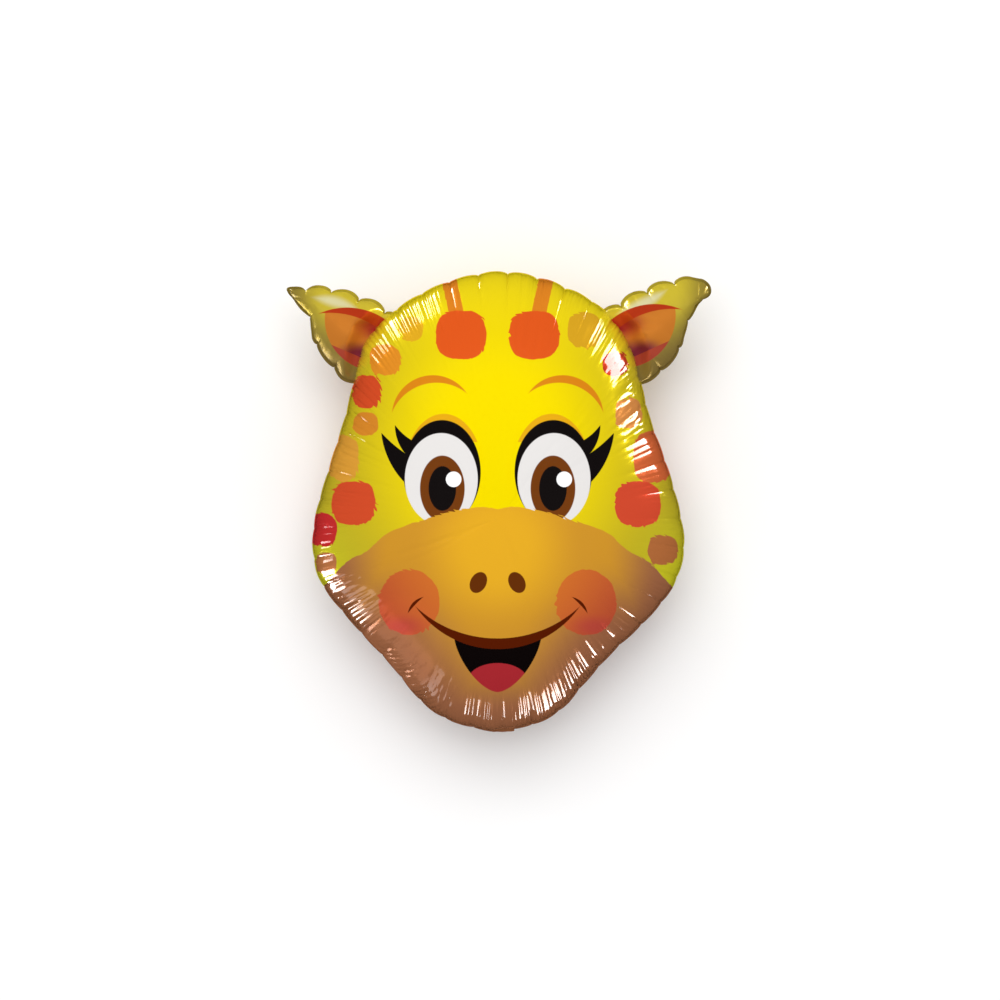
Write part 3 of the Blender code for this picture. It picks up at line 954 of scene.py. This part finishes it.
class FilmPoint:
    """A point of the film: its place on the print in millimetres, and masks that several inks use."""

    def __init__(self):
        self.at = Ink.node("ShaderNodeTexCoord", {}, {}, output=3)
        split = Ink.node("ShaderNodeSeparateXYZ", {}, {"Vector": self.at}).socket.node
        x, y, z = (Ink(output) * (1.0 / MM) for output in split.outputs)
        self.rise = z - WELD_HEIGHT / MM
        # The face is printed for an eye in front of it, to which what stands higher looks larger.
        nearer = self.rise.size().scaled(1.0 / EYE_DISTANCE, 1.0)
        self.x = x * nearer
        self.y = y * nearer
        self.front = Ink.math("GREATER_THAN", self.rise, -1.0)
        self.fullness = self.rise.size() * (1.0 / (HEAD_THICKNESS / 2 / MM))
        self.fur = self.fur_edge()
        self.place = Place(self.x, self.y)
        self.half = (self.x - FACE_AXIS).size()
        self.mirrored = Place(self.half, self.y)
        self.ear = Ink.node("ShaderNodeAttribute", {"attribute_name": "ear"}, {}, output=2)
        self.ear_side = Place(self.x.size(), self.y - self.x * EAR_SKEW)
        self.ear_low = self.ear_side.y.scaled(-1.0, 165.0) + self.ear_side.x.scaled(0.5, -65.0)
        self.eye_white = inside(self.mirrored.oval(*EYE_WHITE))
        self.muzzle = inside(self.y - curve(self.half, MUZZLE_TOP) + self.fur * 0.8)
        self.from_muzzle = Ink.length(self.mirrored.from_middle((0.0, -40.0), (150.0, 150.0)))

    def noise(self, pitch, detail=2.0):
        where = Ink.vector("MULTIPLY", self.at, (1.0 / MM / pitch,) * 3)
        return Ink.node("ShaderNodeTexNoise", {}, {"Vector": where, "Scale": 1.0, "Detail": detail})

    def fur_edge(self):
        """How far tufts of fur shift an ink's edge, in millimetres."""
        patch = (self.noise(15.0) - 0.47) * 5.0
        patch = smaller(larger(patch, 0.0), 1.0)
        slant = self.x * 0.62 + self.y * 0.78 + self.noise(9.0) * 8.0
        tooth = Ink.math("FRACT", slant * (1.0 / 5.2)) - 0.5
        return tooth * patch * 3.6 + (self.noise(11.0) - 0.5) * 2.6


def coat_inks(film):
    """The yellow coat, olive and greenish towards its rim with painted shade, its spots and the two horns.
    """
    # Painted shade: the coat turns olive towards its rim, less on the crown, and greenish low on the face
    # where the film stands low.
    rim = mixed(film.y.between(110.0, 165.0), RIM_SHADE_OLIVE, srgb(232, 208, 34))
    around = Ink.length(film.place.from_middle((FACE_AXIS, 50.0), (110.0, 130.0)))
    coat = mixed(around.between(0.35, 1.55), YELLOW, rim)
    coat = mixed(film.y.between(20.0, -70.0) * film.fullness.between(0.95, 0.45), coat, LOW_SHADE_GREENISH)
    for middle, radii, colour in SPOTS:
        coat = mixed(inside(film.place.spot(middle, radii) + film.fur), coat, colour)
    horn = (film.half - film.y.scaled(0.223, -0.6)).size() - HORN_HALF_WIDTH
    horn = larger(horn, HORN_FOOT - film.y)
    coat = mixed(inside(horn + film.fur * 0.3), coat, srgb(230, 136, 36))
    return mixed(inside(film.mirrored.spot(*HORN_TIP) + film.fur), coat, srgb(232, 92, 32))


def ear_inks(film, coat):
    """The coat with the ears on it: duller film, painted shade on the lower side, round the tip and
    inside, a painted highlight along the top, and the orange inside with its red band.
    """
    side = film.ear_side
    coat = mixed(film.ear * 0.35, coat, srgb(244, 222, 96))
    # Painted shade: the lower side of each ear darker olive brown.
    coat = mixed(film.ear * film.ear_low.between(-5.0, 55.0), coat, srgb(154, 130, 68))
    # A painted highlight: a pale cream stroke along the top of each ear.
    pale = smaller(*(film.place.stroke(*glint, True) for glint in EAR_PAINTED_GLINTS))
    coat = mixed(film.ear * film.front * pale.between(0.5, -6.0) * 0.95, coat, srgb(252, 244, 190))
    # Painted shade: darker brown round each ear's tip.
    coat = mixed(film.ear * side.x.between(148.0, 178.0) * 0.8, coat, srgb(136, 114, 58))
    top = side.circle(*EAR_TOP)
    inner = larger(side.circle(*EAR_INSIDE), top)
    inner = inside(larger(inner, EAR_INSIDE_FOOT - side.y)) * film.ear
    # Painted shade inside the ear: purple low down, red brown below the lower fold, and dark red next to
    # the head.
    ink = mixed(side.oval(*EAR_SHADE).between(3.0, -8.0), srgb(228, 138, 52), srgb(150, 54, 72))
    ink = mixed(inside(side.y - side.x.scaled(0.44, 71.2)), ink, srgb(198, 82, 62))
    ink = mixed(side.oval(*EAR_ROOT_SHADE).between(4.0, -9.0), ink, srgb(190, 48, 48))
    coat = mixed(inner, coat, ink)
    band = larger(top, -side.circle(*EAR_BAND_LOWER))
    band = inside(larger(band, EAR_BAND_FOOT - side.y)) * film.ear
    return mixed(band, coat, srgb(206, 64, 30))


def eye_inks(film, face):
    """The brows, the lids with their lashes, and the eyes."""
    mirrored = film.mirrored
    brow = larger(mirrored.circle(*BROW_UPPER), -mirrored.circle(*BROW_LOWER))
    brow = larger(brow, BROW_FOOT - film.y)
    face = mixed(inside(brow), face, srgb(226, 138, 26))
    lid_shade = larger(mirrored.oval(*LID_SHADE), LID_SHADE_FOOT - film.y)
    face = mixed(inside(lid_shade), face, srgb(238, 176, 24))
    lid = mirrored.oval(*LID)
    for lash in LASHES:
        lid = smaller(lid, mirrored.stroke(*lash, False))
    face = mixed(inside(lid), face, BLACK)
    face = mixed(film.eye_white, face, srgb(224, 221, 219))
    face = mixed(inside(mirrored.oval(*IRIS)), face, srgb(112, 58, 18))
    face = mixed(inside(mirrored.oval(*PUPIL)), face, BLACK)
    glint = smaller(*(film.place.circle(at, EYE_GLINT_RADIUS) for at in EYE_GLINTS))
    return mixed(inside(glint), face, srgb(252, 252, 252))


def muzzle_hide(film):
    """The hide of the muzzle, amber at its middle and brown at the jaw: partly print, partly painted shade
    towards the jaw's rim.
    """
    hide = mixed(film.from_muzzle.between(0.15, 0.50), AMBER, srgb(216, 154, 46))
    # Browner towards the jaw's rim: partly the print, partly painted shade.
    jaw = film.mirrored.x * 0.805 - film.mirrored.y * 0.593
    jaw = jaw.between(76.0, 138.0) * film.y.between(-40.0, -110.0)
    return mixed(larger(film.from_muzzle.between(0.60, 0.94), jaw), hide, BROWN)


def cheek_inks(film, face):
    """The flushed cheeks and the nostrils."""
    cheek = mixed(film.from_muzzle.between(0.3, 0.9), srgb(220, 114, 46), srgb(196, 76, 52))
    flushed = film.mirrored.oval(*CHEEK_FLUSH).between(5.0, -7.0)
    cheek = mixed(flushed * 0.8, cheek, srgb(196, 68, 62))
    face = mixed(inside(film.mirrored.oval(*CHEEK) + film.fur) * 0.92, face, cheek)
    out, up = NOSTRIL_PLACE
    height = film.y - up
    nostril = Place(film.half - out + height * NOSTRIL_LEAN, height)
    return mixed(inside(nostril.oval((0.0, 0.0), NOSTRIL_RADII)), face, srgb(106, 50, 12))


def mouth_inks(film, face):
    """The open mouth with its tongue, and the smile's line over it."""
    below = -film.mirrored.circle(*SMILE_UPPER)
    deep = larger((MOUTH_WIDEST - film.y) * (1.0 / MOUTH_DEPTH), 0.0)
    mouth = (film.half * (1.0 / MOUTH_HALF_WIDTH)) ** 1.667 + deep**1.4 - 1.0
    mouth = larger(mouth * 24.0, below)
    mouth = inside(larger(mouth, film.y - MOUTH_TOP))
    tongue = inside(film.mirrored.oval(*TONGUE))
    face = mixed(mouth, face, mixed(tongue, srgb(14, 8, 8), srgb(178, 44, 52)))
    smile = larger(film.mirrored.circle(*SMILE_LOWER), below)
    corner = film.mirrored.stroke(*SMILE_CORNER, True)
    return mixed(inside(smaller(smile, corner)), face, srgb(92, 28, 4))


def film_colour(film):
    """The inks of the front and the back, and the weld darkened with painted shade, most on the ears."""
    coat = ear_inks(film, coat_inks(film))
    hide = muzzle_hide(film)
    face = mixed(film.muzzle, eye_inks(film, coat), hide)
    face = mouth_inks(film, cheek_inks(film, face))
    colour = mixed(film.front, mixed(film.muzzle, coat, hide), face)
    # Painted shade: the weld's flat border darker, most on the ears.
    weld = inside(film.rise.size() * 2.0 - 1.9)
    return mixed(weld * film.ear.scaled(0.30, 0.10), colour, srgb(92, 78, 36))


def film_bump(film):
    relief = film.noise(2.4, 3.0) * 0.4 + film.noise(0.9) * 0.2
    return Ink.node("ShaderNodeBump", {}, {"Strength": 0.25, "Distance": 0.0001, "Height": relief})


def printed_film():
    """The film's shader: the giraffe's coat and face in inks on the metallised film."""
    material = bpy.data.materials.new("printed_film")
    material.use_nodes = True
    Ink.tree = material.node_tree
    shader = Ink.tree.nodes["Principled BSDF"]
    film = FilmPoint()
    bare_white = film.eye_white * (1.0 - film.muzzle) * film.front
    satin_jaw = film.place.oval(*SATIN_JAW).between(4.0, -6.0)
    satin = larger(film.ear * film.ear_low.between(4.0, 14.0), satin_jaw)
    varying = {
        "Base Color": film_colour(film),
        "Metallic": film.ear.scaled(0.2, 0.18) - bare_white * 0.16,
        "Roughness": film.noise(22.0, 4.0).scaled(0.10, 0.19) + film.ear * 0.12,
        "Coat Weight": 1.0 - satin * 0.95,
        "Normal": film_bump(film),
    }
    for name, value in varying.items():
        Ink.tree.links.new(value.socket, shader.inputs[name])
    for name, value in (("Specular IOR Level", 0.0), ("Coat Roughness", 0.06), ("Coat IOR", 1.5)):
        shader.inputs[name].default_value = value
    return material


def pale_floor():
    """A floor that takes the balloon's shadow and doesn't show in its gloss."""
    bpy.ops.object.select_all(action="DESELECT")
    bpy.ops.mesh.primitive_plane_add(size=8.0, location=(0.0, 0.0, 0.0))
    floor = bpy.context.object
    floor.name = "studio_floor"
    material = bpy.data.materials.new("pale_floor")
    material.use_nodes = True
    shader = material.node_tree.nodes["Principled BSDF"]
    shader.inputs["Base Color"].default_value = (0.93, 0.93, 0.93, 1.0)
    shader.inputs["Roughness"].default_value = 0.9
    shader.inputs["Specular IOR Level"].default_value = 0.0
    floor.data.materials.append(material)
    floor.visible_glossy = False


# Each lamp: name, azimuth, elevation, distance, size, watts, and whether it shows in the gloss.
SOFTBOXES = [
    ("key", 100.0, 68.0, 4.0, (3.4, 3.0), 88.0, False),
    ("shoulder", 32.5, -9.0, 1.5, (0.56, 1.1), 28.0, True),
    ("upper_left", 124.0, -16.0, 1.5, (0.30, 1.1), 11.0, True),
    ("left", 186.0, -20.0, 1.6, (0.10, 0.6), 1.2, True),
    ("lower_left", 205.0, -26.0, 1.5, (0.30, 0.9), 11.0, True),
    ("jaw_sheen", 226.0, -4.0, 1.5, (0.44, 1.1), 2.4, True),
    ("chin", 262.0, -8.0, 1.6, (0.12, 0.8), 3.5, True),
    ("lower_right", 298.0, -16.0, 1.5, (0.36, 0.9), 13.0, True),
]


def softbox(name, azimuth, elevation, distance, size, watts, mirrored):
    """A rectangular light that faces the balloon and either shows in its gloss or lights its inks."""
    light = bpy.data.lights.new(name, "AREA")
    light.shape = "RECTANGLE"
    light.size, light.size_y = size
    light.energy = watts
    holder = bpy.data.objects.new(name, light)
    bpy.context.scene.collection.objects.link(holder)
    turn, lift = math.radians(azimuth), math.radians(elevation)
    away = (math.cos(lift) * math.cos(turn), math.cos(lift) * math.sin(turn), math.sin(lift))
    holder.location = [distance * a for a in away]
    holder.location.z += WELD_HEIGHT
    holder.rotation_euler = (math.pi / 2 - lift, 0.0, turn + math.pi / 2)
    holder.visible_diffuse = not mirrored
    holder.visible_glossy = mirrored


def studio():
    """White light from all round for the inks, and the lamps."""
    world = bpy.data.worlds.new("studio")
    world.use_nodes = True
    bpy.context.scene.world = world
    background = world.node_tree.nodes["Background"]
    background.inputs["Color"].default_value = (1.0, 1.0, 1.0, 1.0)
    background.inputs["Strength"].default_value = 0.76
    world.cycles_visibility.glossy = False
    for lamp in SOFTBOXES:
        softbox(*lamp)


def camera():
    """Straight above the face, which the picture shows from the front, with its crown up."""
    lens = bpy.data.cameras.new("camera")
    lens.lens = 127.0
    lens.sensor_width = 36.0
    lens.clip_end = 50.0
    holder = bpy.data.objects.new("camera", lens)
    bpy.context.scene.collection.objects.link(holder)
    holder.location = (-0.0002, 0.0007, WELD_HEIGHT + 3.0)
    bpy.context.scene.camera = holder


camera()
studio()
pale_floor()
envelope = balloon_envelope()
envelope.data.materials.clear()
envelope.data.materials.append(printed_film())
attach(envelope, "root")
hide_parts("foil_balloon")
bpy.context.scene.view_settings.view_transform = "Standard"
